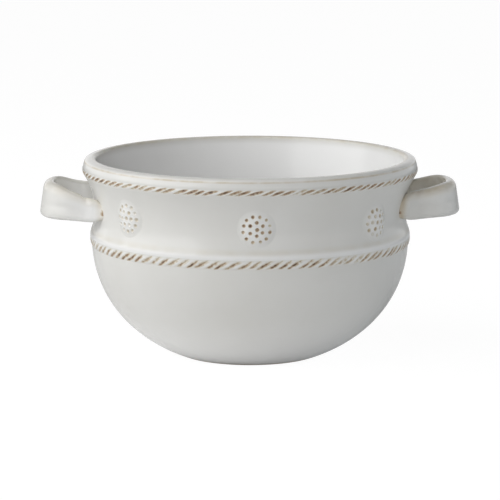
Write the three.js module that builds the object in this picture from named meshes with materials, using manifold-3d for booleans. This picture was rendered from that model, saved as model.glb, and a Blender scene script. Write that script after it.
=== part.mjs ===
// Two-handled stoneware soup bowl with a coved collar between two rope beads.
// Millimetres, +Z up. The origin is on the table under the bowl's axis, and the handles lie along X.
// The clay pieces are formed apart and luted together with slip: one thrown bowl, two strap handles,
// two twisted rope beads and six round stamped bosses.
import * as THREE from "three";
import { mergeVertices } from "three/addons/utils/BufferGeometryUtils.js";
import Module from "manifold-3d";

// Thrown bowl: foot, belly and wall
const FOOT_RADIUS = 32;
const FOOT_RING_WIDTH = 6;
const FOOT_HOLLOW = 1.5; // the turned hollow inside the foot ring
const FLOOR_THICKNESS = 6.5;
const WALL = 5.2;
const BELLY_RADIUS = 71.7; // widest belly, at the top of the lower rope's seat
const BELLY_FULLNESS = 2.14; // exponent of the belly's curve: 2 is an ellipse, more is squarer
const INSIDE_FULLNESS = 2.4; // the same for the inside, which keeps the wall even

// Thrown bowl: shoulder, collar and lip
const SHOULDER_PROUD = 0.7; // how far the rolled shoulder stands out over the belly
const SHOULDER_RISE = 1.6; // from the lower rope's seat up to the shoulder's widest line
const NECK_DEPTH = 3.2; // how far the collar's narrowest line lies in from the shoulder
const NECK_RISE = 11.85; // from the lower rope's seat up to that line
const COLLAR_HEIGHT = 28.3; // between the seats of the two ropes
const LIP_FLARE = 7; // how far the lip reaches out over the neck
const LIP_HEIGHT = 4.85; // from the upper rope's seat up to the crest
const LIP_THICKNESS = 6.6;
const LIP_CREST_SET_BACK = 5; // from the lip's outermost line in to its crest
const LIP_ROUND = 3.6; // from the lip's outermost line up to its crest
const LIP_TOP_FALL = 1.1; // how far the lip's top slopes down from the crest to its outer edge
const LIP_INNER_ROUND = 2.4; // height of the rounded edge inside the crest

// How long the curves of the collar keep their direction, as shares of each stretch's height
const SHOULDER_HOLD = 0.3;
const NECK_HOLD_BELOW = 0.5;
const NECK_HOLD_ABOVE = 0.28;
const LIP_HOLD = 0.34;
const LIP_FACE_HOLD = 0.55;
const LIP_TOP_HOLD = 0.88;
const INNER_LIP_HOLD = 0.25;
const INNER_NECK_HOLD = 0.4;

// Rope beads
const LOWER_ROPE_HEIGHT = 52.3; // middle of the bead above the table
const LOWER_ROPE_WIDTH = 3.7;
const UPPER_ROPE_WIDTH = 2.7;
const UPPER_ROPE_SET_BACK = 1.2; // of the seat behind the lip's outermost line
const UPPER_ROPE_LEAN = 0.8; // how much further out the seat's top edge is than its lower edge
const ROPE_CROWN = 0.8; // height of a strand over its seat
const ROPE_EDGE = 0.3; // thickness left at the bead's two edges
const ROPE_CUT = 0.5; // share of the crown that the grooves between strands take
const STRANDS = 100; // strands seen round each bead
const STRAND_RUN = 1.5; // strand pitches that one strand runs while it crosses the bead

// Stamped bosses
const BOSS_RADIUS = 7.4;
const BOSS_CROWN = 1.3; // height of the dome over the collar
const BOSS_EDGE = 0.3; // thickness left at the dome's edge
const BOSS_RISE = 13.55; // from the lower rope's seat up to the middle of the boss
const BOSS_TURNS = [-50, 0.8, 49.4]; // degrees from the middle of each side, set by hand
const BOSS_DRIFT = 1; // the outer two of each side are this much high and low
const INNER_DOTS = 6; // round the one in the middle
const INNER_DOTS_RADIUS = 3;
const OUTER_DOTS = 12;
const OUTER_DOTS_RADIUS = 5.5;
const DOT_RADIUS = 0.8;
const DOT_DEPTH = 0.7;

// Strap handles
const HANDLE_REACH = 25.7; // from the neck out to the outermost face
const HANDLE_WIDTH = 45; // over the outer faces of the two legs
const STRAP_THICKNESS = 4.4;
const STRAP_RISE = 9; // from the lower rope's seat up to the strap's lower edge at the collar
const STRAP_CLIMB = 0.8; // how much higher that edge is at the outer bend
const STRAP_ROOT_HEIGHT = 11.8; // lower to upper edge at the collar
const STRAP_BEND_HEIGHT = 15.5; // the strap is tallest at the outer bend
const STRAP_BEND_LENGTH = 17; // how far the rounded bend reaches along X
const STRAP_LEAN = 2.4; // how far the strap leans into its loop over the height of the bend

// Slip left between luted pieces
const SLIP = 0.3;

// Fineness of the facets
const TURN_STEPS = 60;
const BELLY_STEPS = 10;
const COVE_STEPS = 5;
const EDGE_STEPS = 2;
const STRAP_STEPS = 20;
const STRAP_END_STEPS = 4;
const BOSS_STEPS = 18;
const BOSS_RING_SHARES = [0.93, 0.7, 0.4, 0.05]; // of the boss's radius
const ROPE_STEPS = 3;
const DOT_SIDES = 5;

const GLAZE = { color: 0xdedcd6, roughness: 0.22, metalness: 0 };
const WASHED_GLAZE = { color: 0xcdbfae, roughness: 0.3, metalness: 0 };

const wasm = await Module();
wasm.setup();

// Turns a closed geometry into a solid that can be cut.
function solidFrom(geometry) {
  const bare = geometry.clone();
  bare.deleteAttribute("normal");
  bare.deleteAttribute("uv");
  const merged = mergeVertices(bare, 1e-4);
  return new wasm.Manifold(
    new wasm.Mesh({
      numProp: 3,
      vertProperties: merged.attributes.position.array,
      triVerts: new Uint32Array(merged.index.array),
    }),
  );
}

function geometryFrom(solid) {
  const { vertProperties, triVerts } = solid.getMesh();
  const geometry = new THREE.BufferGeometry();
  geometry.setAttribute("position", new THREE.BufferAttribute(vertProperties, 3));
  geometry.setIndex(new THREE.BufferAttribute(triVerts, 1));
  geometry.computeVertexNormals();
  return geometry;
}

// Turns an outline of (radius, height) points round the Z axis.
function turned(outline) {
  return new THREE.LatheGeometry(outline, TURN_STEPS).rotateX(Math.PI / 2);
}

// Joins rings of equal length into one skin, with a fan over each open end.
function lofted(rings, closed) {
  const count = rings[0].length;
  const points = rings.flat();
  const faces = [];
  const last = closed ? rings.length : rings.length - 1;
  for (let i = 0; i < last; i += 1) {
    const here = i * count;
    const next = ((i + 1) % rings.length) * count;
    for (let j = 0; j < count; j += 1) {
      const k = (j + 1) % count;
      faces.push(here + j, here + k, next + k, here + j, next + k, next + j);
    }
  }
  if (!closed) {
    const end = (rings.length - 1) * count;
    for (let j = 1; j < count - 1; j += 1) {
      faces.push(0, j + 1, j, end, end + j, end + j + 1);
    }
  }
  return new THREE.BufferGeometry().setFromPoints(points).setIndex(faces);
}

// Places on the bowl that other pieces share
const lowerSeatBottom = LOWER_ROPE_HEIGHT - LOWER_ROPE_WIDTH / 2;
const lowerSeatTop = LOWER_ROPE_HEIGHT + LOWER_ROPE_WIDTH / 2;
const shoulderRadius = BELLY_RADIUS + SHOULDER_PROUD;
const neckRadius = shoulderRadius - NECK_DEPTH;
const neckHeight = lowerSeatTop + NECK_RISE;
const lipRadius = neckRadius + LIP_FLARE;
const upperSeatBottom = lowerSeatTop + COLLAR_HEIGHT;
const upperSeatTop = upperSeatBottom + UPPER_ROPE_WIDTH;
const upperSeatRadius = lipRadius - UPPER_ROPE_SET_BACK;
const crestRadius = lipRadius - LIP_CREST_SET_BACK;
const crestHeight = upperSeatTop + LIP_HEIGHT;
const lipHeight = crestHeight - LIP_ROUND;

// Radius of the belly at a height, on a curve that stands on the foot's edge.
function bellyRadius(height) {
  const foot = 1 - (FOOT_RADIUS / BELLY_RADIUS) ** BELLY_FULLNESS;
  const drop = lowerSeatTop / foot ** (1 / BELLY_FULLNESS);
  const share = 1 - ((lowerSeatTop - height) / drop) ** BELLY_FULLNESS;
  return BELLY_RADIUS * share ** (1 / BELLY_FULLNESS);
}

// The seats are flat bands that the rope beads lie on, each from its lower to its upper edge.
const lowerSeat = [
  new THREE.Vector2(bellyRadius(lowerSeatBottom), lowerSeatBottom),
  new THREE.Vector2(BELLY_RADIUS, lowerSeatTop),
];
const upperSeat = [
  new THREE.Vector2(upperSeatRadius - UPPER_ROPE_LEAN / 2, upperSeatBottom),
  new THREE.Vector2(upperSeatRadius + UPPER_ROPE_LEAN / 2, upperSeatTop),
];

// Outside of the bowl from the foot's edge up to the crest of the lip.
function outsideOutline() {
  const belly = [];
  for (let i = 0; i < BELLY_STEPS; i += 1) {
    const height = lowerSeatBottom * (1 - Math.cos((i / BELLY_STEPS) * (Math.PI / 2)));
    belly.push(new THREE.Vector2(bellyRadius(height), height));
  }
  const shoulderHeight = lowerSeatTop + SHOULDER_RISE;
  const shoulder = new THREE.QuadraticBezierCurve(
    lowerSeat[1],
    new THREE.Vector2(shoulderRadius, lowerSeatTop),
    new THREE.Vector2(shoulderRadius, shoulderHeight),
  );
  const coveHeight = neckHeight - shoulderHeight;
  const lowerCove = new THREE.CubicBezierCurve(
    new THREE.Vector2(shoulderRadius, shoulderHeight),
    new THREE.Vector2(shoulderRadius, shoulderHeight + coveHeight * SHOULDER_HOLD),
    new THREE.Vector2(neckRadius, neckHeight - coveHeight * NECK_HOLD_BELOW),
    new THREE.Vector2(neckRadius, neckHeight),
  );
  const flare = upperSeat[0].clone().sub(new THREE.Vector2(neckRadius, neckHeight));
  const upperCove = new THREE.CubicBezierCurve(
    new THREE.Vector2(neckRadius, neckHeight),
    new THREE.Vector2(neckRadius, neckHeight + flare.y * NECK_HOLD_ABOVE),
    upperSeat[0].clone().addScaledVector(flare, -LIP_HOLD),
    upperSeat[0],
  );
  const lipFace = new THREE.QuadraticBezierCurve(
    upperSeat[1],
    new THREE.Vector2(lipRadius, upperSeatTop),
    new THREE.Vector2(lipRadius, lipHeight),
  );
  const lipTop = new THREE.CubicBezierCurve(
    new THREE.Vector2(lipRadius, lipHeight),
    new THREE.Vector2(lipRadius, lipHeight + LIP_ROUND * LIP_FACE_HOLD),
    new THREE.Vector2(crestRadius + LIP_CREST_SET_BACK * LIP_TOP_HOLD, crestHeight - LIP_TOP_FALL),
    new THREE.Vector2(crestRadius, crestHeight),
  );
  return [
    ...belly,
    ...lowerSeat,
    ...shoulder.getPoints(EDGE_STEPS).slice(1),
    ...lowerCove.getPoints(COVE_STEPS).slice(1),
    ...upperCove.getPoints(COVE_STEPS).slice(1),
    upperSeat[1],
    ...lipFace.getPoints(EDGE_STEPS).slice(1),
    ...lipTop.getPoints(2 * EDGE_STEPS).slice(1),
  ];
}

// Inside of the bowl from the crest of the lip down to the middle of the floor.
function insideOutline() {
  const innerEdge = LIP_THICKNESS - LIP_CREST_SET_BACK;
  const innerHeight = crestHeight - LIP_INNER_ROUND;
  const floorTop = FOOT_HOLLOW + FLOOR_THICKNESS;
  const neck = new THREE.Vector2(neckRadius - WALL, neckHeight);
  const belly = new THREE.Vector2(BELLY_RADIUS - WALL, lowerSeatTop);
  const lipEdge = new THREE.EllipseCurve(
    crestRadius,
    innerHeight,
    innerEdge,
    LIP_INNER_ROUND,
    Math.PI / 2,
    Math.PI,
  );
  const flareHeight = innerHeight - neckHeight;
  const flare = new THREE.CubicBezierCurve(
    new THREE.Vector2(crestRadius - innerEdge, innerHeight),
    new THREE.Vector2(crestRadius - innerEdge, innerHeight - flareHeight * INNER_LIP_HOLD),
    new THREE.Vector2(neck.x, neckHeight + flareHeight * INNER_NECK_HOLD),
    neck,
  );
  const shoulder = new THREE.CubicBezierCurve(
    neck,
    new THREE.Vector2(neck.x, neckHeight - NECK_RISE * INNER_NECK_HOLD),
    new THREE.Vector2(belly.x, lowerSeatTop + NECK_RISE * INNER_NECK_HOLD),
    belly,
  );
  const bowl = [];
  for (let i = 1; i <= BELLY_STEPS; i += 1) {
    const angle = (i / BELLY_STEPS) * (Math.PI / 2);
    const across = i < BELLY_STEPS ? Math.cos(angle) ** (2 / INSIDE_FULLNESS) : 0;
    const down = Math.sin(angle) ** (2 / INSIDE_FULLNESS);
    bowl.push(new THREE.Vector2(belly.x * across, lowerSeatTop - (lowerSeatTop - floorTop) * down));
  }
  return [
    ...lipEdge.getPoints(2 * EDGE_STEPS).slice(1),
    ...flare.getPoints(COVE_STEPS).slice(1),
    ...shoulder.getPoints(COVE_STEPS).slice(1),
    ...bowl,
  ];
}

const outside = outsideOutline();

function bowlBody() {
  const ringInside = FOOT_RADIUS - FOOT_RING_WIDTH;
  const underside = [
    new THREE.Vector2(0, FOOT_HOLLOW),
    new THREE.Vector2(ringInside - FOOT_HOLLOW, FOOT_HOLLOW),
    new THREE.Vector2(ringInside, 0),
  ];
  return turned([...underside, ...outside, ...insideOutline()]);
}

// Radius of the bowl's outside at a height on the collar.
function collarRadius(height) {
  for (let i = 1; i < outside.length; i += 1) {
    const low = outside[i - 1];
    const high = outside[i];
    if (height >= low.y && height <= high.y && high.y > low.y) {
      return low.x + ((high.x - low.x) * (height - low.y)) / (high.y - low.y);
    }
  }
  throw new Error(`no part of the bowl's outside is ${height} mm above the table`);
}

// A twisted bead: ridges and grooves that slant across a band, lofted round the bowl.
function ropeBead([low, high]) {
  const along = high.clone().sub(low);
  const out = new THREE.Vector2(along.y, -along.x).normalize();
  const pitch = (2 * Math.PI) / STRANDS;
  const rings = [];
  for (let line = 0; line < 2 * STRANDS; line += 1) {
    const depth = line % 2 ? 1 - ROPE_CUT : 1;
    const ring = [];
    const place = (across, height) => {
      const turn = (line / 2 + STRAND_RUN * (across - 0.5)) * pitch;
      const flat = low.clone().addScaledVector(along, across).addScaledVector(out, SLIP + height);
      ring.push(new THREE.Vector3(flat.x * Math.cos(turn), flat.x * Math.sin(turn), flat.y));
    };
    place(0, 0);
    for (let j = 0; j <= ROPE_STEPS; j += 1) {
      const across = j / ROPE_STEPS;
      const crown = Math.sin(Math.PI * across) * (ROPE_CROWN - ROPE_EDGE) * depth;
      place(across, ROPE_EDGE + crown);
    }
    place(1, 0);
    rings.push(ring.reverse());
  }
  return lofted(rings, true);
}

// A low dome that follows the collar, stamped with rings of dots, and facing along +X. Each dot is
// cut by a cone that stands half out of the dome.
function boss(height) {
  const onCollar = (radius, turn, rise) => {
    const z = height + radius * Math.sin(turn);
    const across = collarRadius(z) + SLIP + rise;
    const angle = (radius * Math.cos(turn)) / collarRadius(height);
    return new THREE.Vector3(across * Math.cos(angle), across * Math.sin(angle), z);
  };
  const ringAt = (radius, rise) =>
    Array.from({ length: BOSS_STEPS }, (_, i) =>
      onCollar(radius, (i / BOSS_STEPS) * 2 * Math.PI, rise),
    );
  const dome = (share) => BOSS_EDGE + (BOSS_CROWN - BOSS_EDGE) * Math.sqrt(1 - share * share);
  const rings = [
    ringAt(BOSS_RADIUS * BOSS_RING_SHARES.at(-1), 0),
    ringAt(BOSS_RADIUS, 0),
    ringAt(BOSS_RADIUS, BOSS_EDGE),
    ...BOSS_RING_SHARES.map((share) => ringAt(BOSS_RADIUS * share, dome(share))),
  ];
  let solid = solidFrom(lofted(rings, false));
  const dotRings = [
    { radius: 0, count: 1 },
    { radius: INNER_DOTS_RADIUS, count: INNER_DOTS },
    { radius: OUTER_DOTS_RADIUS, count: OUTER_DOTS },
  ];
  for (const { radius, count } of dotRings) {
    for (let i = 0; i < count; i += 1) {
      const turn = (i / count) * 2 * Math.PI;
      const top = onCollar(radius, turn, dome(radius / BOSS_RADIUS));
      const dot = new THREE.ConeGeometry(2 * DOT_RADIUS, 2 * DOT_DEPTH, DOT_SIDES)
        .rotateZ(Math.PI / 2 + Math.atan2(top.y, top.x))
        .translate(top.x, top.y, top.z);
      solid = solid.subtract(solidFrom(dot));
    }
  }
  return geometryFrom(solid);
}

// A strap bent into a loop, on the +X side, with its two ends cut to the collar.
function handle(collar) {
  const legY = (HANDLE_WIDTH - STRAP_THICKNESS) / 2;
  const bendX = neckRadius + HANDLE_REACH - STRAP_THICKNESS / 2 - STRAP_BEND_LENGTH;
  const rootX = neckRadius - legY;
  const rootBottom = lowerSeatTop + STRAP_RISE;
  const path = new THREE.Path();
  path.moveTo(rootX, legY);
  path.lineTo(bendX, legY);
  path.absellipse(bendX, 0, STRAP_BEND_LENGTH, legY, Math.PI / 2, -Math.PI / 2, true);
  path.lineTo(rootX, -legY);
  const half = STRAP_THICKNESS / 2;
  const rings = [];
  for (let i = 0; i <= STRAP_STEPS; i += 1) {
    const middle = path.getPointAt(i / STRAP_STEPS);
    const way = path.getTangentAt(i / STRAP_STEPS);
    const out = new THREE.Vector2(-way.y, way.x);
    const reach = THREE.MathUtils.smoothstep(middle.x, neckRadius, bendX + STRAP_BEND_LENGTH);
    const bottom = rootBottom + STRAP_CLIMB * reach;
    const top = bottom + THREE.MathUtils.lerp(STRAP_ROOT_HEIGHT, STRAP_BEND_HEIGHT, reach);
    const ring = [];
    const place = (side, z) => {
      const rise = (z - bottom - half) / STRAP_BEND_HEIGHT;
      const flat = middle.clone().addScaledVector(out, side - STRAP_LEAN * rise);
      ring.push(new THREE.Vector3(flat.x, flat.y, z));
    };
    for (let j = 0; j <= STRAP_END_STEPS; j += 1) {
      const angle = Math.PI * (j / STRAP_END_STEPS);
      place(half * Math.cos(angle), top - half + half * Math.sin(angle));
    }
    for (let j = 0; j <= STRAP_END_STEPS; j += 1) {
      const angle = Math.PI * (1 + j / STRAP_END_STEPS);
      place(half * Math.cos(angle), bottom + half + half * Math.sin(angle));
    }
    rings.push(ring);
  }
  return geometryFrom(solidFrom(lofted(rings, false)).subtract(collar));
}

// The space that the bowl and its slip fill, for cutting what is luted on.
function collarSpace() {
  const grown = outside.map((point) => new THREE.Vector2(point.x + SLIP, point.y));
  return solidFrom(
    turned([new THREE.Vector2(0, 0), ...grown, new THREE.Vector2(0, crestHeight)]),
  );
}

const bowl = new THREE.Group();

function add(name, geometry, glaze, turn = 0) {
  const mesh = new THREE.Mesh(geometry, new THREE.MeshStandardMaterial(glaze));
  mesh.name = name;
  mesh.rotation.z = turn;
  bowl.add(mesh);
}

add("bowl_body", bowlBody(), GLAZE);
add("lower_rope_bead", ropeBead(lowerSeat), WASHED_GLAZE);
add("upper_rope_bead", ropeBead(upperSeat), WASHED_GLAZE);

const handleShape = handle(collarSpace());
add("right_handle", handleShape, GLAZE);
add("left_handle", handleShape, GLAZE, Math.PI);

const bossSides = [
  { side: "front", facing: -90, places: ["left", "middle", "right"] },
  { side: "back", facing: 90, places: ["right", "middle", "left"] },
];
for (const { side, facing, places } of bossSides) {
  for (const [i, place] of places.entries()) {
    const turn = THREE.MathUtils.degToRad(facing + BOSS_TURNS[i]);
    const height = lowerSeatTop + BOSS_RISE + BOSS_DRIFT * (1 - i);
    add(`${side}_${place}_boss`, boss(height), WASHED_GLAZE, turn);
  }
}

export default bowl;
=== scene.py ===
from math import atan2, cos, exp, floor, hypot, pi, radians, sin

import bpy
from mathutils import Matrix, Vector, noise
from mathutils.geometry import interpolate_bezier


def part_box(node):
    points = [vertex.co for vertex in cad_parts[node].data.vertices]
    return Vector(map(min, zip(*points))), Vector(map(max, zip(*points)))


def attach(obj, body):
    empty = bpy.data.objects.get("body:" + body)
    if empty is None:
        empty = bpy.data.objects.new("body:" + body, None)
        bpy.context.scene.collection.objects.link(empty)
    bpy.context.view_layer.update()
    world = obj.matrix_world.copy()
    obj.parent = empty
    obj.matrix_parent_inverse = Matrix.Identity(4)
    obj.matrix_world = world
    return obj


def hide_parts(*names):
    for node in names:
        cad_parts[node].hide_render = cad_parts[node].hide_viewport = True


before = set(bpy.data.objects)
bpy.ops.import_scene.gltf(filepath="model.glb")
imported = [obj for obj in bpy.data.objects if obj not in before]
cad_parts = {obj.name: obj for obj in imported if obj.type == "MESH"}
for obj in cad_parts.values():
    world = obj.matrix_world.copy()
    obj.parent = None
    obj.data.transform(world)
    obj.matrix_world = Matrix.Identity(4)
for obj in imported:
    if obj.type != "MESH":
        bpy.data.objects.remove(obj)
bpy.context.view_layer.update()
bpy.ops.object.select_all(action="DESELECT")


# The bowl is one piece of white stoneware, thrown on a wheel: foot, belly, rolled shoulder, coved collar
# and sloping lip. A brown wash wiped on before the glaze shows where the glaze runs thin, on the lip's
# edges and at the foot, and on the lip's inner rounding and the foot's edge it is also painted shade. The
# glaze pools white on the lip's face; inside, low on the belly and on the lip's top it is painted whiter
# as painted light, and along the shoulder as a painted highlight.
MM = 0.001
MERGE_DISTANCE = 0.002 * MM
bowl_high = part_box("bowl_body")[1]
lower_rope_low, lower_rope_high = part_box("lower_rope_bead")
upper_rope_low, upper_rope_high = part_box("upper_rope_bead")
lip_inset = 0.5
crest_inset = 0.3
lip_radius = bowl_high[0] / MM - lip_inset
crest_height = bowl_high[2] / MM - crest_inset
lower_seat_low = lower_rope_low[2] / MM
belly_top = lower_rope_high[2] / MM
upper_seat_low = upper_rope_low[2] / MM
upper_seat_high = upper_rope_high[2] / MM

foot_radius = 32.0
foot_ring = 6.0
foot_hollow = 1.5
foot_round = 0.6
floor_height = 8.0
wall = 5.2
belly_radius = 71.7
belly_fullness = 2.14
inside_fullness = 2.4
shoulder_radius = 72.4
shoulder_height = belly_top + 0.6
neck_radius = 70.1
neck_height = belly_top + 12.56
cove_bend = 25.0
cove_bottom = belly_top + 3.6
lip_foot_radius = lip_radius - 0.3
lip_edge_radius = lip_radius - 1.0
lip_edge_fall = 1.4
lip_round = 0.9
lip_face_bulge = 0.1
lip_face_upright = 1.2
crest_radius = lip_radius - 4.6
lip_inner_radius = lip_radius - 6.2
lip_inner_round = 1.5
bowl_sides = 192
belly_steps = 56
cove_steps = 32
lip_steps = 12


def belly_at(height):
    foot_share = 1 - (foot_radius / belly_radius) ** belly_fullness
    drop = belly_top / foot_share ** (1 / belly_fullness)
    share = 1 - ((belly_top - height) / drop) ** belly_fullness
    return belly_radius * share ** (1 / belly_fullness)


def cove_at(height):
    return neck_radius + (height - neck_height) ** 2 / (2 * cove_bend)


def bend(start, start_hold, end_hold, end, count):
    """Points of one bend in the outline, after its start, each a (radius, height) pair in mm."""
    knots = [Vector((r, 0, z)) for r, z in (start, start_hold, end_hold, end)]
    return [(p.x, p.z) for p in interpolate_bezier(*knots, count + 1)[1:]]


ring_inner = foot_radius - foot_ring
foot_edge = (belly_at(foot_round), foot_round)
underside = [(0, foot_hollow), (ring_inner - 2 * foot_hollow, foot_hollow)]
underside += bend(
    underside[-1],
    (ring_inner - foot_hollow, foot_hollow),
    (ring_inner - foot_hollow, 0),
    (ring_inner, 0),
    6,
)
underside += [(foot_radius - foot_round, 0)]
underside += bend(underside[-1], (foot_radius, 0), (foot_radius, 0), foot_edge, 4)

outside = []
for i in range(1, belly_steps + 1):
    height = foot_round + (belly_top - foot_round) * (1 - cos(pi / 2 * i / belly_steps))
    outside.append((belly_at(height), height))
throat = (cove_at(upper_seat_low), upper_seat_low)
lip_foot = (lip_foot_radius, upper_seat_high)
lip_edge = (lip_edge_radius, crest_height - lip_edge_fall)
shoulder_turn = (shoulder_radius, belly_top)
outside += bend(outside[-1], shoulder_turn, shoulder_turn, (shoulder_radius, shoulder_height), 6)
shoulder_hold = (cove_bottom - shoulder_height) / 3
outside += bend(
    outside[-1],
    (shoulder_radius, shoulder_height + shoulder_hold),
    (cove_at(cove_bottom - shoulder_hold), cove_bottom - shoulder_hold),
    (cove_at(cove_bottom), cove_bottom),
    8,
)
for i in range(1, cove_steps + 1):
    height = cove_bottom + (upper_seat_low - cove_bottom) * i / cove_steps
    outside.append((cove_at(height), height))
outside += bend(throat, throat, lip_foot, lip_foot, 4)
outside += bend(
    lip_foot,
    (lip_foot_radius + lip_face_bulge, upper_seat_high + lip_face_upright),
    (lip_edge_radius + 0.3 * lip_round, lip_edge[1] - lip_round),
    lip_edge,
    14,
)
outside += bend(
    lip_edge,
    (lip_edge_radius - 0.35 * lip_round, lip_edge[1] + lip_round),
    (crest_radius + 0.5 * (lip_edge_radius - crest_radius), crest_height),
    (crest_radius, crest_height),
    16,
)

inside = []
for i in range(1, lip_steps + 1):
    angle = pi / 2 * i / lip_steps
    r = crest_radius - (crest_radius - lip_inner_radius) * sin(angle)
    inside.append((r, crest_height - lip_inner_round * (1 - cos(angle))))
inner_neck = (neck_radius - wall, neck_height)
inner_belly = (belly_radius - wall, belly_top)
inner_flare = inside[-1][1] - neck_height
inner_cove = neck_height - belly_top
inner_taper = lip_inner_radius - inner_neck[0]
inside += bend(
    inside[-1],
    (lip_inner_radius - 0.22 * inner_taper, inside[-1][1] - 0.25 * inner_flare),
    (inner_neck[0] + 0.1 * inner_taper, neck_height + 0.3 * inner_flare),
    inner_neck,
    18,
)
inside += bend(
    inner_neck,
    (inner_neck[0], neck_height - 0.4 * inner_cove),
    (inner_belly[0], belly_top + 0.4 * inner_cove),
    inner_belly,
    10,
)
for i in range(1, belly_steps + 1):
    angle = pi / 2 * i / belly_steps
    across = cos(angle) ** (2 / inside_fullness) if i < belly_steps else 0
    down = sin(angle) ** (2 / inside_fullness)
    inside.append((inner_belly[0] * across, belly_top - (belly_top - floor_height) * down))

outline = [Vector((r * MM, 0, z * MM)) for r, z in underside + outside + inside]
bpy.ops.mesh.primitive_plane_add(size=MM)
bowl = bpy.context.object
bowl.name = "glazed_bowl"
bpy.ops.object.mode_set(mode="EDIT")
bpy.ops.mesh.merge(type="CENTER")
bpy.ops.transform.translate(value=outline[0])
for here, there in zip(outline, outline[1:]):
    bpy.ops.mesh.extrude_region_move(TRANSFORM_OT_translate={"value": there - here})
bpy.ops.mesh.select_all(action="SELECT")
bpy.ops.mesh.spin(steps=bowl_sides, angle=2 * pi, center=(0, 0, 0), axis=(0, 0, 1))
bpy.ops.mesh.select_all(action="SELECT")
bpy.ops.mesh.remove_doubles(threshold=MERGE_DISTANCE)
bpy.ops.mesh.normals_make_consistent(inside=False)
bpy.ops.object.mode_set(mode="OBJECT")
bpy.ops.object.shade_smooth()

# How far the wash and its painted shade show and how much whiter the glaze is made, from 0 to 1: pooled
# glaze on the lip's face, and painted light and a painted highlight elsewhere. Each fade is a pair of
# distances in mm: up to the first it is whole, and past the second it is gone.
LIP_LINE_WASH = 0.21
LIP_LINE_FADE = (0.1, 0.75)
# Brown wash on the lip's inner rounding, which also stands for painted shade there.
RIM_WASH_AND_SHADE = 0.16
RIM_FADE = (0.6, 2.0)
LIP_TOP_WASH = 0.05
SHOULDER_WASH = 0.07
SHOULDER_WASH_HEIGHT = belly_top + 3.3
SHOULDER_WASH_FADE = (0.3, 2.0)
# The foot's edge is browned as bare clay and as painted contact shade where it meets the floor.
FOOT_BROWN_AND_SHADE = 0.75
FOOT_FADE = (0.3, 1.1)
LIP_FACE_POOL = 0.1
# Painted light: the glaze on the lip's top is made whiter so it reads brighter.
LIP_TOP_PAINTED_LIGHT = 0.6
# Painted highlight: a whiter band of glaze just above the lower bead.
SHOULDER_PAINTED_HIGHLIGHT = 0.8
SHOULDER_HIGHLIGHT_HEIGHT = belly_top + 1.0
SHOULDER_HIGHLIGHT_FADE = (0.5, 2.3)
# Painted light: the lower belly is made whiter, standing in for light thrown up from the floor.
BELLY_PAINTED_LIGHT = 0.7
BELLY_PAINTED_LIGHT_FADE = (3, 32.0)
# Painted light: the whole inside is made whiter, up to just under the crest.
INSIDE_PAINTED_LIGHT = 1.0
INSIDE_PAINTED_LIGHT_FADE = (crest_height - 4, crest_height - 1)


def add_mask(piece, name, amounts):
    """Stores a value from 0 to 1 for each point of a piece, which its glaze reads."""
    mask = piece.data.attributes.new(name, "FLOAT", "POINT")
    mask.data.foreach_set("value", amounts)


def fade(distance, full, gone):
    """1 up to the full distance, easing to 0 where it is gone."""
    share = min(max((gone - distance) / (gone - full), 0), 1)
    return share * share * (3 - 2 * share)


rim_radius = 0.5 * (crest_radius + lip_inner_radius)
bowl_wash_and_shade = []
bowl_pool_and_light = []
for point in bowl.data.vertices:
    r = hypot(point.co.x, point.co.y) / MM
    z = point.co.z / MM
    outward = point.co.x * point.normal.x + point.co.y * point.normal.y > 0
    on_lip_top = crest_radius < r < lip_edge[0] and z > lip_edge[1]
    wash_and_shade = LIP_LINE_WASH * fade(hypot(r - lip_edge[0], z - lip_edge[1]), *LIP_LINE_FADE)
    # Painted shade with the wash on the lip's inner rounding.
    wash_and_shade = max(wash_and_shade, RIM_WASH_AND_SHADE * fade(hypot(r - rim_radius, z - crest_height), *RIM_FADE))
    if on_lip_top:
        wash_and_shade = max(wash_and_shade, LIP_TOP_WASH)
    if outward and z > belly_top:
        wash_and_shade = max(wash_and_shade, SHOULDER_WASH * fade(abs(z - SHOULDER_WASH_HEIGHT), *SHOULDER_WASH_FADE))
    # Bare clay and painted contact shade at the foot's edge.
    if r > ring_inner - 1:
        wash_and_shade = max(wash_and_shade, FOOT_BROWN_AND_SHADE * fade(z, *FOOT_FADE))
    bowl_wash_and_shade.append(wash_and_shade)
    # Whiter glaze: pooled on the lip's face, elsewhere painted light and a painted highlight on the
    # shoulder.
    pool_and_painted_light = 0
    if outward and upper_seat_high - 1 < z < lip_edge[1]:
        pool_and_painted_light = LIP_FACE_POOL
    if outward and z < BELLY_PAINTED_LIGHT_FADE[1]:
        pool_and_painted_light = BELLY_PAINTED_LIGHT * fade(z, *BELLY_PAINTED_LIGHT_FADE)
    if outward and z > belly_top - 2:
        pool_and_painted_light = max(pool_and_painted_light, SHOULDER_PAINTED_HIGHLIGHT * fade(abs(z - SHOULDER_HIGHLIGHT_HEIGHT), *SHOULDER_HIGHLIGHT_FADE))
    if on_lip_top:
        pool_and_painted_light = LIP_TOP_PAINTED_LIGHT
    if not outward and z > floor_height - 1:
        pool_and_painted_light = INSIDE_PAINTED_LIGHT * fade(z, *INSIDE_PAINTED_LIGHT_FADE)
    bowl_pool_and_light.append(pool_and_painted_light)
add_mask(bowl, "wash_and_shade", bowl_wash_and_shade)
add_mask(bowl, "pool_and_painted_light", bowl_pool_and_light)


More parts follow.
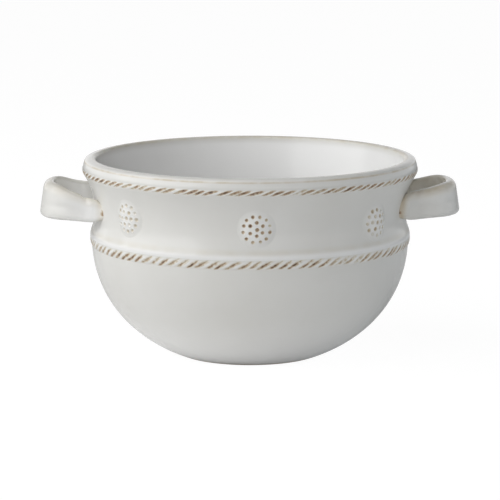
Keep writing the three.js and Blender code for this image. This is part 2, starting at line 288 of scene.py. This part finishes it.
def washed_glaze(name, patch_scale, patch_from, patch_to, thin):
    """White gloss glaze over the brown wash, whiter where a piece's stored value says: pooled glaze,
    painted light and painted highlights.

    The wash and its painted shade break through in patches where its wash value says, and between the
    patches they still show by the thin share.
    """
    material = bpy.data.materials.new(name)
    material.use_nodes = True
    nodes = material.node_tree.nodes
    link = material.node_tree.links.new
    shader = nodes["Principled BSDF"]
    shader.inputs["IOR"].default_value = 1.5

    place = nodes.new("ShaderNodeTexCoord")
    clouds = nodes.new("ShaderNodeTexNoise")
    clouds.inputs["Scale"].default_value = 22
    clouds.inputs["Detail"].default_value = 4
    link(place.outputs["Object"], clouds.inputs["Vector"])
    white = nodes.new("ShaderNodeValToRGB")
    white.color_ramp.elements[0].position = 0.3
    white.color_ramp.elements[0].color = (0.735, 0.729, 0.695, 1)
    white.color_ramp.elements[1].position = 0.7
    white.color_ramp.elements[1].color = (0.775, 0.772, 0.747, 1)
    link(clouds.outputs["Fac"], white.inputs["Fac"])
    pool_and_painted_light = nodes.new("ShaderNodeAttribute")
    pool_and_painted_light.attribute_name = "pool_and_painted_light"
    glaze = nodes.new("ShaderNodeMix")
    glaze.data_type = "RGBA"
    glaze.inputs["B"].default_value = (0.88, 0.88, 0.872, 1)
    link(pool_and_painted_light.outputs["Fac"], glaze.inputs["Factor"])
    link(white.outputs["Color"], glaze.inputs["A"])

    wash_and_shade = nodes.new("ShaderNodeAttribute")
    wash_and_shade.attribute_name = "wash_and_shade"
    patches = nodes.new("ShaderNodeTexNoise")
    patches.inputs["Scale"].default_value = patch_scale
    patches.inputs["Detail"].default_value = 3
    link(place.outputs["Object"], patches.inputs["Vector"])
    breaking = nodes.new("ShaderNodeMapRange")
    breaking.inputs["From Min"].default_value = patch_from
    breaking.inputs["From Max"].default_value = patch_to
    breaking.inputs["To Min"].default_value = thin
    breaking.inputs["To Max"].default_value = 1.1
    link(patches.outputs["Fac"], breaking.inputs["Value"])
    amount = nodes.new("ShaderNodeMath")
    amount.operation = "MULTIPLY"
    amount.use_clamp = True
    link(wash_and_shade.outputs["Fac"], amount.inputs[0])
    link(breaking.outputs["Result"], amount.inputs[1])

    brown = nodes.new("ShaderNodeValToRGB")
    brown.color_ramp.elements[0].color = (0.70, 0.66, 0.555, 1)
    brown.color_ramp.elements[1].color = (0.10, 0.058, 0.036, 1)
    for position, shade in (
        (0.3, (0.565, 0.487, 0.368, 1)),
        (0.6, (0.38, 0.26, 0.165, 1)),
        (0.85, (0.22, 0.135, 0.08, 1)),
    ):
        brown.color_ramp.elements.new(position).color = shade
    link(amount.outputs["Value"], brown.inputs["Fac"])
    cover = nodes.new("ShaderNodeMapRange")
    cover.inputs["From Max"].default_value = 0.25
    link(amount.outputs["Value"], cover.inputs["Value"])
    colour = nodes.new("ShaderNodeMix")
    colour.data_type = "RGBA"
    link(cover.outputs["Result"], colour.inputs["Factor"])
    link(glaze.outputs["Result"], colour.inputs["A"])
    link(brown.outputs["Color"], colour.inputs["B"])
    link(colour.outputs["Result"], shader.inputs["Base Color"])

    gloss = nodes.new("ShaderNodeMapRange")
    gloss.inputs["To Min"].default_value = 0.16
    gloss.inputs["To Max"].default_value = 0.4
    link(amount.outputs["Value"], gloss.inputs["Value"])
    link(gloss.outputs["Result"], shader.inputs["Roughness"])

    ripple = nodes.new("ShaderNodeTexNoise")
    ripple.inputs["Scale"].default_value = 95
    ripple.inputs["Detail"].default_value = 2
    link(place.outputs["Object"], ripple.inputs["Vector"])
    bump = nodes.new("ShaderNodeBump")
    bump.inputs["Strength"].default_value = 0.25
    bump.inputs["Distance"].default_value = 0.0006
    link(ripple.outputs["Fac"], bump.inputs["Height"])
    link(bump.outputs["Normal"], shader.inputs["Normal"])
    return material


bowl_glaze = washed_glaze("bowl_glaze", patch_scale=160, patch_from=0.36, patch_to=0.62, thin=0.55)
bowl.data.materials.append(bowl_glaze)
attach(bowl, "root")
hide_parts("bowl_body")


# The two rope beads are strips of clay, impressed with slanting strands and pressed on with slip: a
# thin one under the lip and a wider one under the shoulder. The brown wash stays in the grooves between
# the strands and tints them beside it, with painted shade making the grooves darkest at one height on
# each bead; the crowns stay white, and the middle of each bead is painted whiter as a painted highlight.
STRANDS = 100
STRAND_RUN = 1.5
POINTS_PER_STRAND = 14
ROPE_ROWS = 14
STRAND_HEIGHT = 0.6
STRAND_DRIFT = 0.3
SPACING_DRIFT = 0.22
SPACING_WAVES = 9
WEAR_WAVES = 2.3
GROOVE_SHARE = 0.3
ROPE_SINK = 0.06
TINT_WASH = 0.27
# Painted highlight: the middle of each bead is made whiter.
BEAD_PAINTED_HIGHLIGHT = 0.8
rope_glaze = washed_glaze("rope_glaze", patch_scale=650, patch_from=0.34, patch_to=0.6, thin=0.35)
noise.seed_set(3)


def rope_bead(name, node, low, high, shade_core, width, seed):
    """A band round the bowl between two edges, with grooves that climb to the right.

    The shade core is the share of the way up at which the grooves are painted darkest, as painted shade;
    the width is that of the wash in them, and the seed sets how the strands differ.
    """
    around = STRANDS * POINTS_PER_STRAND
    bpy.ops.object.select_all(action="DESELECT")
    bpy.ops.mesh.primitive_grid_add(x_subdivisions=around, y_subdivisions=ROPE_ROWS, size=1)
    rope = bpy.context.object
    rope.name = name
    low, high = Vector(low), Vector(high)
    out = Vector((high.y - low.y, low.x - high.x)).normalized()
    rope_wash_and_shade = []
    rope_painted_highlight = []
    for i, point in enumerate(rope.data.vertices):
        row, column = divmod(i, around + 1)
        across = row / ROPE_ROWS
        turn = 2 * pi * (column % around) / around
        drift = noise.noise(Vector((SPACING_WAVES * cos(turn), SPACING_WAVES * sin(turn), seed)))
        along = (column % around) / POINTS_PER_STRAND
        phase = along - STRAND_RUN * (across - 0.5) + SPACING_DRIFT * drift
        strand = floor(phase + 0.5)
        strand_drift = noise.noise_vector(Vector((strand % STRANDS * 1.7, seed, 4.2)))
        off_groove = min(abs(phase - strand + STRAND_DRIFT * strand_drift.y), 0.5)
        press = 0.5 + strand_drift.x
        wear = 0.5 + noise.noise(Vector((WEAR_WAVES * cos(turn), WEAR_WAVES * sin(turn), seed + 5)))
        swell = sin(pi * across)
        ridge = (1 - (1 - 2 * off_groove) ** 2) ** 0.5
        lift = STRAND_HEIGHT * swell * (ridge - GROOVE_SHARE) - ROPE_SINK
        seat = low.lerp(high, across) + out * lift
        point.co = (seat.x * cos(turn) * MM, seat.x * sin(turn) * MM, seat.y * MM)
        slide = across - 0.5 + 0.2 * (press - 0.5)
        # Painted shade: the grooves are darkest and widest near the shade core.
        near_shade_core = fade(abs(across - shade_core), 0.05, 0.6)
        stroke = fade(off_groove / width, 0.06, 0.2 + 0.2 * near_shade_core) * fade(abs(slide), 0.26, 0.5)
        shown = min(max(0.55 + 0.6 * press + 0.8 * (wear - 0.5), 0.25), 1) * (0.5 + 0.5 * near_shade_core)
        tint = TINT_WASH * swell * fade(off_groove, 0.2, 0.5)
        rope_wash_and_shade.append(max(shown * stroke, tint))
        # Painted highlight along the bead's middle.
        rope_painted_highlight.append(BEAD_PAINTED_HIGHLIGHT * swell)
    add_mask(rope, "wash_and_shade", rope_wash_and_shade)
    add_mask(rope, "pool_and_painted_light", rope_painted_highlight)
    bpy.ops.object.mode_set(mode="EDIT")
    bpy.ops.mesh.select_all(action="SELECT")
    bpy.ops.mesh.remove_doubles(threshold=MERGE_DISTANCE)
    bpy.ops.mesh.normals_make_consistent(inside=False)
    bpy.ops.object.mode_set(mode="OBJECT")
    bpy.ops.object.shade_smooth()
    rope.data.materials.append(rope_glaze)
    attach(rope, "root")
    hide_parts(node)


lower_edge = (belly_at(lower_seat_low), lower_seat_low - 0.5)
lower_top_edge = (shoulder_radius, belly_top + 0.3)
upper_top_edge = (lip_foot[0] + 0.2, lip_foot[1] + 0.2)
rope_bead("lower_rope", "lower_rope_bead", lower_edge, lower_top_edge, shade_core=0.32, width=0.78, seed=2.0)
rope_bead("upper_rope", "upper_rope_bead", throat, upper_top_edge, shade_core=0.6, width=1.25, seed=11.0)


# The six bosses are sprigs: small pads of clay smoothed on to the collar with slip, and stamped with two
# rings of dots round one in the middle. The wash stays in the dots, and shows least on the bosses at the
# sides, where the glaze lies thicker. Each dome is painted whiter towards its middle, a painted
# highlight.
BOSS_RADIUS = 9.0
BOSS_CROWN = 1.9
BOSS_FULLNESS = 1.6
BOSS_SINK = 0.06
BOSS_GRID = 96
BOSS_WASH = {"left": 0.32, "middle": 1.0, "right": 0.42}
# Painted highlight: each dome is whiter towards its middle.
BOSS_PAINTED_HIGHLIGHT = 0.7
BOSS_HIGHLIGHT_FADE = (0.4, 0.95)
DOT_RADIUS = 0.95
DOT_DEPTH = 0.6
DOT_RINGS = ((0, 1), (3.1, 6), (5.7, 12))
DOT_DRIFT = 0.5
DOT_PRESS_FALL = 0.05
DOT_PRESS_DRIFT = 0.3
DOT_WASH_FALL = 0.06
DOT_WASH_DRIFT = 0.6
DOT_WASH_LEAST = 0.4
DOT_SPREAD = {"left": 1.5, "middle": 1.15, "right": 1.4}
DOT_RIM_HEIGHT = 0.07
DOT_RIM_PLACE = 1.2
DOT_RIM_WIDTH = 0.25
boss_glaze = washed_glaze("boss_glaze", patch_scale=420, patch_from=0.3, patch_to=0.6, thin=0.4)


def collar_at(height):
    """Radius of the bowl's outside at a height on the collar, in mm."""
    for (r0, z0), (r1, z1) in zip(outside, outside[1:]):
        if z0 <= height <= z1:
            return r0 + (r1 - r0) * (height - z0) / (z1 - z0)


def stamped_dots(seed):
    """Each dot as (across, up, radius, depth, wash), a little unlike its neighbours."""
    dots = []
    for ring_radius, count in DOT_RINGS:
        for i in range(count):
            angle = 2 * pi * (i + 0.5 * (seed % 2)) / count
            drift = noise.noise_vector(Vector((seed * 7.3, ring_radius * 1.7, i * 2.1)))
            across = ring_radius * cos(angle) + DOT_DRIFT * drift.x
            up = ring_radius * sin(angle) + DOT_DRIFT * drift.y
            press = 1 - DOT_PRESS_FALL * ring_radius + DOT_PRESS_DRIFT * drift.z
            shown = 1 - DOT_WASH_FALL * ring_radius + DOT_WASH_DRIFT * drift.z
            shown = min(max(shown, DOT_WASH_LEAST), 1)
            dots.append((across, up, DOT_RADIUS * (0.7 + 0.3 * press), DOT_DEPTH * press, shown))
    return dots


bosses = [(side, place) for side in ("front", "back") for place in BOSS_WASH]
for seed, (side, place) in enumerate(bosses):
    node = f"{side}_{place}_boss"
    low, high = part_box(node)
    middle_height = (low[2] + high[2]) / 2 / MM
    facing = atan2(low[1] + high[1], low[0] + high[0])
    dots = stamped_dots(seed)
    bpy.ops.object.select_all(action="DESELECT")
    bpy.ops.mesh.primitive_grid_add(
        x_subdivisions=BOSS_GRID, y_subdivisions=BOSS_GRID, size=2 * BOSS_RADIUS
    )
    boss = bpy.context.object
    boss.name = f"{node}_sprig"
    bpy.ops.object.mode_set(mode="EDIT")
    bpy.ops.mesh.select_all(action="DESELECT")
    bpy.ops.object.mode_set(mode="OBJECT")
    for point in boss.data.vertices:
        point.select = hypot(point.co.x, point.co.y) > BOSS_RADIUS
    bpy.ops.object.mode_set(mode="EDIT")
    bpy.ops.mesh.delete(type="VERT")
    bpy.ops.object.mode_set(mode="OBJECT")
    boss_wash = []
    boss_painted_highlight = []
    for point in boss.data.vertices:
        across, up = point.co.x, point.co.y
        share = min(hypot(across, up) / BOSS_RADIUS, 1)
        rise = BOSS_CROWN * (1 - share**2) ** BOSS_FULLNESS - BOSS_SINK
        shown = 0
        for dot_across, dot_up, dot_radius, dot_depth, dot_wash in dots:
            off = hypot(across - dot_across, up - dot_up) / dot_radius
            rise -= dot_depth * fade(off, 0.2, 1)
            rise += DOT_RIM_HEIGHT * exp(-(((off - DOT_RIM_PLACE) / DOT_RIM_WIDTH) ** 2))
            shown = max(shown, dot_wash * fade(off, 0.35, DOT_SPREAD[place]))
        height = middle_height + up
        angle = facing + across / neck_radius
        r = (collar_at(height) + rise) * MM
        point.co = (r * cos(angle), r * sin(angle), height * MM)
        boss_wash.append(BOSS_WASH[place] * shown)
        # Painted highlight on the dome.
        boss_painted_highlight.append(BOSS_PAINTED_HIGHLIGHT * fade(share, *BOSS_HIGHLIGHT_FADE))
    bpy.ops.object.mode_set(mode="EDIT")
    bpy.ops.mesh.select_all(action="SELECT")
    bpy.ops.mesh.normals_make_consistent(inside=False)
    bpy.ops.object.mode_set(mode="OBJECT")
    bpy.ops.object.shade_smooth()
    add_mask(boss, "wash_and_shade", boss_wash)
    add_mask(boss, "pool_and_painted_light", boss_painted_highlight)
    boss.data.materials.append(boss_glaze)
    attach(boss, "root")
    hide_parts(node)


# The handles are straps of clay, bent into a loop that stands level from the collar and grows taller
# towards its bend. Their ends are drawn to a tongue, pressed on and bedded in slip. The wash stays at the
# tongue's tip and, thinly, along the strap's edges, and below the crest and inside the loop it is also
# painted shade. The left strap's face and inside are painted whiter as painted light, and the right
# strap's crest as a painted highlight.
handle_low, handle_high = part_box("right_handle")
HANDLE_REACH = handle_high[0] / MM
LEG_SPREAD = handle_high[1] / MM
STRAP_BOTTOM = handle_low[2] / MM
STRAP_RISE = handle_high[2] / MM - STRAP_BOTTOM
STRAP_THICKNESS = 4.4
STRAP_SQUARENESS = 2.2
STRAP_BEND_LENGTH = 17.0
STRAP_LEAN = 2.4
STRAP_BEND_SQUARENESS = 2.4
CREST_INWARD = 0.9
CREST_FALL_OUTSIDE = 3.2
CREST_FALL_INSIDE = 1.0
TONGUE_FULLNESS = 1.6
TIP_HEIGHT = 3.95
TIP_ROUND = 0.6
SLIP_LENGTH = 4.2
SLIP_SPREAD = 2.4
SLIP_SPREAD_UP = 0.5
SLIP_STEPS = 14
SLIP_SINK = 0.1
CLIMB_LENGTH = 8.0
LEG_SPLAY = 0.8
THUMB_GROOVE = 0.2
THUMB_WIDTH = 1.5
THUMB_SHARE = 0.42
ROUNDED_SHARE = 0.9
FACE_SHARE = 0.9
LEG_STEPS = 18
LEG_CROWDING = 1.5
BEND_STEPS = 40
EDGE_STEPS = 12
FACE_STEPS = 14

# What differs between the straps, which were bent and set on by eye: the heights of their edges over the
# lowest one in mm, how late the top edge rises on each leg, their wash and painted shade, and their
# painted light and painted highlight.
RIGHT_STRAP = {
    "near_top": 13.3,
    "far_top": 12.6,
    "bend_top": 16.1,
    "root_bottom": 0.5,
    "bend_bottom": 1.3,
    "tongue_top": 2.4,
    "tongue_bottom": 1.5,
    "near_lag": 1.0,
    "far_lag": 1.0,
    "crest_wash": 0.0,
    # The slope and inside washes are tan, and also painted shade below the crest and inside the loop.
    "slope_wash_and_shade": 0.23,
    "inside_wash_and_shade": 0.15,
    "tip_wash": 0.27,
    # Painted light on the face and inside, and a painted highlight on the crest.
    "face_painted_light": 0.0,
    "inside_painted_light": 0.0,
    "crest_painted_highlight": 1.0,
}
LEFT_STRAP = {
    "near_top": 10.6,
    "far_top": 12.8,
    "bend_top": 16.3,
    "root_bottom": 0.0,
    "bend_bottom": 0.7,
    "tongue_top": 2.0,
    "tongue_bottom": 1.5,
    "near_lag": 0.8,
    "far_lag": 1.7,
    "crest_wash": 0.15,
    "slope_wash_and_shade": 0.12,
    "inside_wash_and_shade": 0.03,
    "tip_wash": 0.17,
    "face_painted_light": 0.85,
    "inside_painted_light": 0.9,
    "crest_painted_highlight": 0.0,
}

half_strap = STRAP_THICKNESS / 2
leg_y = LEG_SPREAD - half_strap
bend_x = HANDLE_REACH - half_strap - STRAP_BEND_LENGTH
leg_length = bend_x - (neck_radius**2 - leg_y**2) ** 0.5

# Fades in steps over the crest, in mm up or along, or in shares of the slip's length from the tip.
CREST_WASH_FADE = (0.5, 3)
# Fade of the painted highlight along the right strap's crest.
CREST_HIGHLIGHT_FADE = (0.5, 1.5)
SLOPE_FADE = (2, EDGE_STEPS / 2 + 3)
SLOPE_START_FADE = (0.5, 1.5)
INSIDE_WASH_AND_SHADE_FADE = (-2.5, -1)
TIP_FADE = (0.1, 0.9)
SPOT_HEIGHT = 67.1
SPOT_FADE_UP = (0.3, 1.3)
SPOT_FADE_ALONG = (0.02, 0.34)
# Fade of the painted light on the strap's face towards the bend.
FACE_PAINTED_LIGHT_FADE = (bend_x - 3, bend_x + 12)
handle_glaze = washed_glaze("handle_glaze", patch_scale=140, patch_from=0.36, patch_to=0.62, thin=0.7)


def strap_edges(strap, x, near_share):
    """Heights of the strap's lower and upper edge at a place, in mm over the lowest edge."""
    lag = strap["far_lag"] + (strap["near_lag"] - strap["far_lag"]) * near_share
    reach = fade(x, bend_x + STRAP_BEND_LENGTH, neck_radius) ** lag
    climb = fade(x, bend_x + CLIMB_LENGTH, neck_radius)
    root_top = strap["far_top"] + (strap["near_top"] - strap["far_top"]) * near_share
    bottom = strap["root_bottom"] + (strap["bend_bottom"] - strap["root_bottom"]) * climb
    return bottom, root_top + (strap["bend_top"] - root_top) * reach


def strap_section(bottom, top, half, groove, slant):
    """Points round the strap as (outward, up), from its outer face over the top and back below.

    The crest lies near the inner face, so the outer one rounds over further to meet it, and where the
    slant is 1 it does so all the way from the tip's height. A shallow groove left by the thumb runs along
    the outer face.
    """
    crest = -CREST_INWARD * half / half_strap
    tallest = ROUNDED_SHARE * (top - bottom)
    rounding = min(half / half_strap, tallest / (CREST_FALL_OUTSIDE + half_strap), 1)
    outer_fall = CREST_FALL_OUTSIDE * rounding
    outer_fall += slant * max(top - outer_fall - TIP_HEIGHT, 0)
    upper, lower = [], []
    for i in range(EDGE_STEPS + 1):
        angle = pi * i / EDGE_STEPS
        across = abs(cos(angle)) ** (2 / STRAP_SQUARENESS)
        fall = 1 - sin(angle) ** (2 / STRAP_SQUARENESS)
        if i < EDGE_STEPS / 2:
            upper.append((crest + (half - crest) * across, top - outer_fall * fall))
            lower.append((-half * across, bottom + half_strap * rounding * fall))
        else:
            inner_fall = CREST_FALL_INSIDE * rounding
            upper.append((crest - (half + crest) * across, top - inner_fall * fall))
            lower.append((half * across, bottom + half_strap * rounding * fall))
    points = list(upper)
    inner_face = (upper[-1], lower[0], lower)
    outer_face = (lower[-1], upper[0], [])
    for start, end, next_edge in (inner_face, outer_face):
        for i in range(1, FACE_STEPS):
            points.append((start[0], start[1] + (end[1] - start[1]) * i / FACE_STEPS))
        points += next_edge
    thumb = bottom + THUMB_SHARE * (top - bottom)
    section = []
    for across, up in points:
        pressed = 0
        if across > FACE_SHARE * half:
            pressed = groove * exp(-(((up - thumb) / THUMB_WIDTH) ** 2))
        section.append((across - pressed - STRAP_LEAN * (up - half_strap) / STRAP_RISE, up))
    return section


def leg_row(strap, side, share, near_end):
    """A row round one leg, from the collar (share 0) to the bend (share 1).

    Near its end the strap is drawn in from above and below to a tongue, and bedded in slip.
    """
    drawn = 1 - (1 - near_end**TONGUE_FULLNESS) ** (1 / TONGUE_FULLNESS)
    slip = 1 - (1 - near_end**2) ** 0.5
    lift = SLIP_LENGTH * (1 - near_end) - SLIP_SINK
    bottom, top = strap_edges(strap, bend_x - leg_length * (1 - share), (1 - side) / 2)
    bottom += strap["tongue_bottom"] * drawn - SLIP_SPREAD_UP * slip
    top -= strap["tongue_top"] * drawn - SLIP_SPREAD_UP * slip
    half = half_strap - TIP_ROUND * drawn + SLIP_SPREAD * slip
    row = []
    for across, up in strap_section(bottom, top, half, THUMB_GROOVE * share, drawn):
        y = side * (leg_y + across + LEG_SPLAY * (1 - share) ** 2)
        z = STRAP_BOTTOM + up
        at_collar = ((collar_at(z) + lift) ** 2 - y**2) ** 0.5
        row.append((at_collar + (bend_x - at_collar) * share, y, z))
    return row


def leg_rows(strap, side):
    """The rows of one leg from its slip's edge outward, each with how near it is to that edge."""
    rows = []
    for i in range(SLIP_STEPS):
        near_end = cos(pi / 2 * i / SLIP_STEPS)
        rows.append((leg_row(strap, side, 0, near_end), near_end))
    for i in range(LEG_STEPS):
        rows.append((leg_row(strap, side, (i / LEG_STEPS) ** LEG_CROWDING, 0), 0))
    return rows


def bend_row(strap, angle):
    """A row round the bend, at an angle seen from above."""
    along = abs(cos(angle)) ** (2 / STRAP_BEND_SQUARENESS)
    side = 1 if angle > 0 else -1
    aside = abs(sin(angle)) ** (2 / STRAP_BEND_SQUARENESS) * side
    middle = Vector((bend_x + STRAP_BEND_LENGTH * along, leg_y * aside))
    steep = STRAP_BEND_SQUARENESS - 1
    out = Vector((along**steep / STRAP_BEND_LENGTH, abs(aside) ** steep / leg_y * side)).normalized()
    bottom, top = strap_edges(strap, middle.x, (1 - aside) / 2)
    section = strap_section(bottom, top, half_strap, THUMB_GROOVE * aside**2, 0)
    return [(*(middle + out * across), STRAP_BOTTOM + up) for across, up in section]


for node, way, strap in (("right_handle", 1, RIGHT_STRAP), ("left_handle", -1, LEFT_STRAP)):
    strap_rows = leg_rows(strap, -1)
    for i in range(BEND_STEPS + 1):
        strap_rows.append((bend_row(strap, pi * (i / BEND_STEPS - 0.5)), 0))
    strap_rows += reversed(leg_rows(strap, 1))
    row_length = len(strap_rows[0][0])

    bpy.ops.object.select_all(action="DESELECT")
    bpy.ops.mesh.primitive_grid_add(
        x_subdivisions=row_length, y_subdivisions=len(strap_rows) - 1, size=1
    )
    handle = bpy.context.object
    handle.name = f"{node}_strap"
    handle_wash_and_shade = []
    handle_painted_light = []
    for i, point in enumerate(handle.data.vertices):
        row, step = divmod(i, row_length + 1)
        step %= row_length
        places, tip = strap_rows[row]
        x, y, z = places[step]
        point.co = Vector((way * x, y, z)) * MM
        on_outer_face = step > row_length - FACE_STEPS or step < EDGE_STEPS / 2
        step_from_face = (step + row_length / 2) % row_length - row_length / 2 + FACE_STEPS / 2
        past_crest = (step + FACE_STEPS) % row_length - FACE_STEPS - EDGE_STEPS / 2
        wash_and_shade = strap["crest_wash"] * fade(abs(past_crest), *CREST_WASH_FADE)
        wash_and_shade = max(wash_and_shade, strap["tip_wash"] * fade(1 - tip, *TIP_FADE))
        # Below the crest and inside the loop the wash is also painted shade.
        if past_crest < 0:
            slope = fade(-past_crest, *SLOPE_FADE) - fade(-past_crest, *SLOPE_START_FADE)
            wash_and_shade = max(wash_and_shade, strap["slope_wash_and_shade"] * slope)
        elif step < 1.5 * EDGE_STEPS + FACE_STEPS:
            wash_and_shade = max(wash_and_shade, strap["inside_wash_and_shade"] * fade(-past_crest, *INSIDE_WASH_AND_SHADE_FADE))
        if on_outer_face:
            spot = fade(1 - tip, *SPOT_FADE_ALONG) * fade(abs(z - SPOT_HEIGHT), *SPOT_FADE_UP)
            wash_and_shade = max(wash_and_shade, spot)
        handle_wash_and_shade.append(wash_and_shade)
        # Painted light on the face and inside, and a painted highlight on the crest.
        off_face = max(abs(step_from_face) - FACE_STEPS / 2, 0)
        pool_and_painted_light = strap["face_painted_light"] * fade(off_face, 0, EDGE_STEPS / 2) * fade(x, *FACE_PAINTED_LIGHT_FADE)
        if EDGE_STEPS < step < EDGE_STEPS + FACE_STEPS:
            pool_and_painted_light = strap["inside_painted_light"]
        pool_and_painted_light = max(pool_and_painted_light, strap["crest_painted_highlight"] * fade(abs(past_crest), *CREST_HIGHLIGHT_FADE))
        handle_painted_light.append(pool_and_painted_light)
    add_mask(handle, "wash_and_shade", handle_wash_and_shade)
    add_mask(handle, "pool_and_painted_light", handle_painted_light)
    bpy.ops.object.mode_set(mode="EDIT")
    bpy.ops.mesh.select_all(action="SELECT")
    bpy.ops.mesh.remove_doubles(threshold=MERGE_DISTANCE)
    bpy.ops.mesh.normals_make_consistent(inside=False)
    bpy.ops.object.mode_set(mode="OBJECT")
    bpy.ops.object.shade_smooth()
    handle.data.materials.append(handle_glaze)
    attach(handle, "root")
    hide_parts(node)


# The stage: a pale floor that runs out of sight, a broad soft box high on the left, a low strip on the
# right that lifts the shade, the room's light from the front, and a long lens a little above the rim.
bpy.ops.object.select_all(action="DESELECT")
bpy.ops.mesh.primitive_plane_add(size=8)
ground = bpy.context.object
ground.name = "floor"
FLOOR_GLOW = 1.07
FLOOR_GLOW_FOR_CAMERA = 0.9
FLOOR_GLOW_FOR_GLOSS = 0.15


def when_seen(tree, seen, reflected):
    """A node value: one number for what the lens sees, and another for what reflections see."""
    ray = tree.nodes.new("ShaderNodeLightPath")
    total = None
    shares = (("Is Camera Ray", seen), ("Is Transmission Ray", seen), ("Is Glossy Ray", reflected))
    for name, share in shares:
        part = tree.nodes.new("ShaderNodeMath")
        part.operation = "MULTIPLY"
        tree.links.new(ray.outputs[name], part.inputs[0])
        if isinstance(share, bpy.types.NodeSocket):
            tree.links.new(share, part.inputs[1])
        else:
            part.inputs[1].default_value = share
        if total:
            larger = tree.nodes.new("ShaderNodeMath")
            larger.operation = "MAXIMUM"
            tree.links.new(total.outputs["Value"], larger.inputs[0])
            tree.links.new(part.outputs["Value"], larger.inputs[1])
            part = larger
        total = part
    return total.outputs["Value"]


floor_paint = bpy.data.materials.new("floor_paint")
floor_paint.use_nodes = True
nodes = floor_paint.node_tree.nodes
link = floor_paint.node_tree.links.new
matt = nodes["Principled BSDF"]
matt.inputs["Base Color"].default_value = (0.96, 0.96, 0.96, 1)
matt.inputs["Roughness"].default_value = 0.9
matt.inputs["Specular IOR Level"].default_value = 0
glow = nodes.new("ShaderNodeEmission")
glow.inputs["Strength"].default_value = FLOOR_GLOW
blend = nodes.new("ShaderNodeMixShader")
floor_seen = when_seen(floor_paint.node_tree, FLOOR_GLOW_FOR_CAMERA, FLOOR_GLOW_FOR_GLOSS)
link(floor_seen, blend.inputs["Fac"])
link(matt.outputs["BSDF"], blend.inputs[1])
link(glow.outputs["Emission"], blend.inputs[2])
link(blend.outputs["Shader"], nodes["Material Output"].inputs["Surface"])
ground.data.materials.append(floor_paint)

ROOM_LIGHT = 0.51
ROOM_LOW = 0.84
ROOM_TURN = radians(24)
ROOM_EDGE = 0.15
OVERHEAD_SEEN = 0.45
world = bpy.data.worlds.new("studio")
bpy.context.scene.world = world
world.use_nodes = True
nodes = world.node_tree.nodes
link = world.node_tree.links.new
room = nodes["Background"]
room.inputs["Color"].default_value = (1, 1, 1, 1)
toward = nodes.new("ShaderNodeTexCoord")
split = nodes.new("ShaderNodeSeparateXYZ")
link(toward.outputs["Object"], split.inputs["Vector"])
level = nodes.new("ShaderNodeValToRGB")
level.color_ramp.elements[0].position = 0.1
level.color_ramp.elements[0].color = (ROOM_LOW, ROOM_LOW, ROOM_LOW, 1)
level.color_ramp.elements[1].position = 0.85
level.color_ramp.elements[1].color = (0, 0, 0, 1)
for position in (0.35, 0.65):
    level.color_ramp.elements.new(position).color = (ROOM_LIGHT, ROOM_LIGHT, ROOM_LIGHT, 1)
link(split.outputs["Z"], level.inputs["Fac"])
ahead = nodes.new("ShaderNodeVectorMath")
ahead.operation = "DOT_PRODUCT"
ahead.inputs[1].default_value = (-sin(ROOM_TURN), -cos(ROOM_TURN), 0)
link(toward.outputs["Object"], ahead.inputs[0])
front = nodes.new("ShaderNodeMapRange")
front.inputs["From Min"].default_value = -ROOM_EDGE
front.inputs["From Max"].default_value = ROOM_EDGE
link(ahead.outputs["Value"], front.inputs["Value"])
strength = nodes.new("ShaderNodeMath")
strength.operation = "MULTIPLY"
link(level.outputs["Color"], strength.inputs[0])
link(front.outputs["Result"], strength.inputs[1])
link(strength.outputs["Value"], room.inputs["Strength"])
white = nodes.new("ShaderNodeBackground")
white.inputs["Color"].default_value = (1, 1, 1, 1)
choose = nodes.new("ShaderNodeMixShader")
overhead = nodes.new("ShaderNodeMapRange")
overhead.inputs["From Min"].default_value = 0.1
overhead.inputs["From Max"].default_value = 0.5
overhead.inputs["To Min"].default_value = 1
overhead.inputs["To Max"].default_value = OVERHEAD_SEEN
link(split.outputs["Z"], overhead.inputs["Value"])
link(when_seen(world.node_tree, 1, overhead.outputs["Result"]), choose.inputs["Fac"])
link(room.outputs["Background"], choose.inputs[1])
link(white.outputs["Background"], choose.inputs[2])
link(choose.outputs["Shader"], nodes["World Output"].inputs["Surface"])

AIM = Vector((0, 0, 0.0466))


def soft_box(name, turn, rise, distance, width, height, power):
    """A lamp aimed at the bowl: degrees round from the front to the left, and degrees up.

    The lens doesn't see it.
    """
    lamp = bpy.data.lights.new(name, "AREA")
    lamp.shape = "RECTANGLE"
    lamp.size = width
    lamp.size_y = height
    lamp.energy = power
    box = bpy.data.objects.new(name, lamp)
    bpy.context.collection.objects.link(box)
    turn, rise = radians(turn), radians(rise)
    away = Vector((-sin(turn) * cos(rise), -cos(turn) * cos(rise), sin(rise)))
    box.location = AIM + distance * away
    box.rotation_euler = (-away).to_track_quat("-Z", "Y").to_euler()
    box.visible_camera = False
    return box


soft_box("left_soft_box", turn=72, rise=42, distance=0.85, width=1.2, height=1.2, power=6.6)
fill = soft_box("right_strip", turn=-84, rise=0, distance=0.6, width=0.7, height=0.08, power=0.62)
fill.visible_glossy = False
fill.data.color = (0.85, 0.92, 1)

PICTURE_PIXELS = 500
PIXEL = 0.4544 * MM
SENSOR_WIDTH = 36
CAMERA_DISTANCE = 2700 * PIXEL
CAMERA_TURN = radians(-1.5)
CAMERA_RISE = radians(9.8)
lens = bpy.data.cameras.new("camera")
camera = bpy.data.objects.new("camera", lens)
bpy.context.collection.objects.link(camera)
lens.sensor_fit = "HORIZONTAL"
lens.sensor_width = SENSOR_WIDTH
lens.lens = SENSOR_WIDTH * CAMERA_DISTANCE / (PICTURE_PIXELS * PIXEL)
back = Vector(
    (sin(CAMERA_TURN) * cos(CAMERA_RISE), -cos(CAMERA_TURN) * cos(CAMERA_RISE), sin(CAMERA_RISE))
)
camera.location = AIM + CAMERA_DISTANCE * back
camera.rotation_euler = (-back).to_track_quat("-Z", "Y").to_euler()
bpy.context.scene.camera = camera
bpy.context.scene.view_settings.view_transform = "Standard"
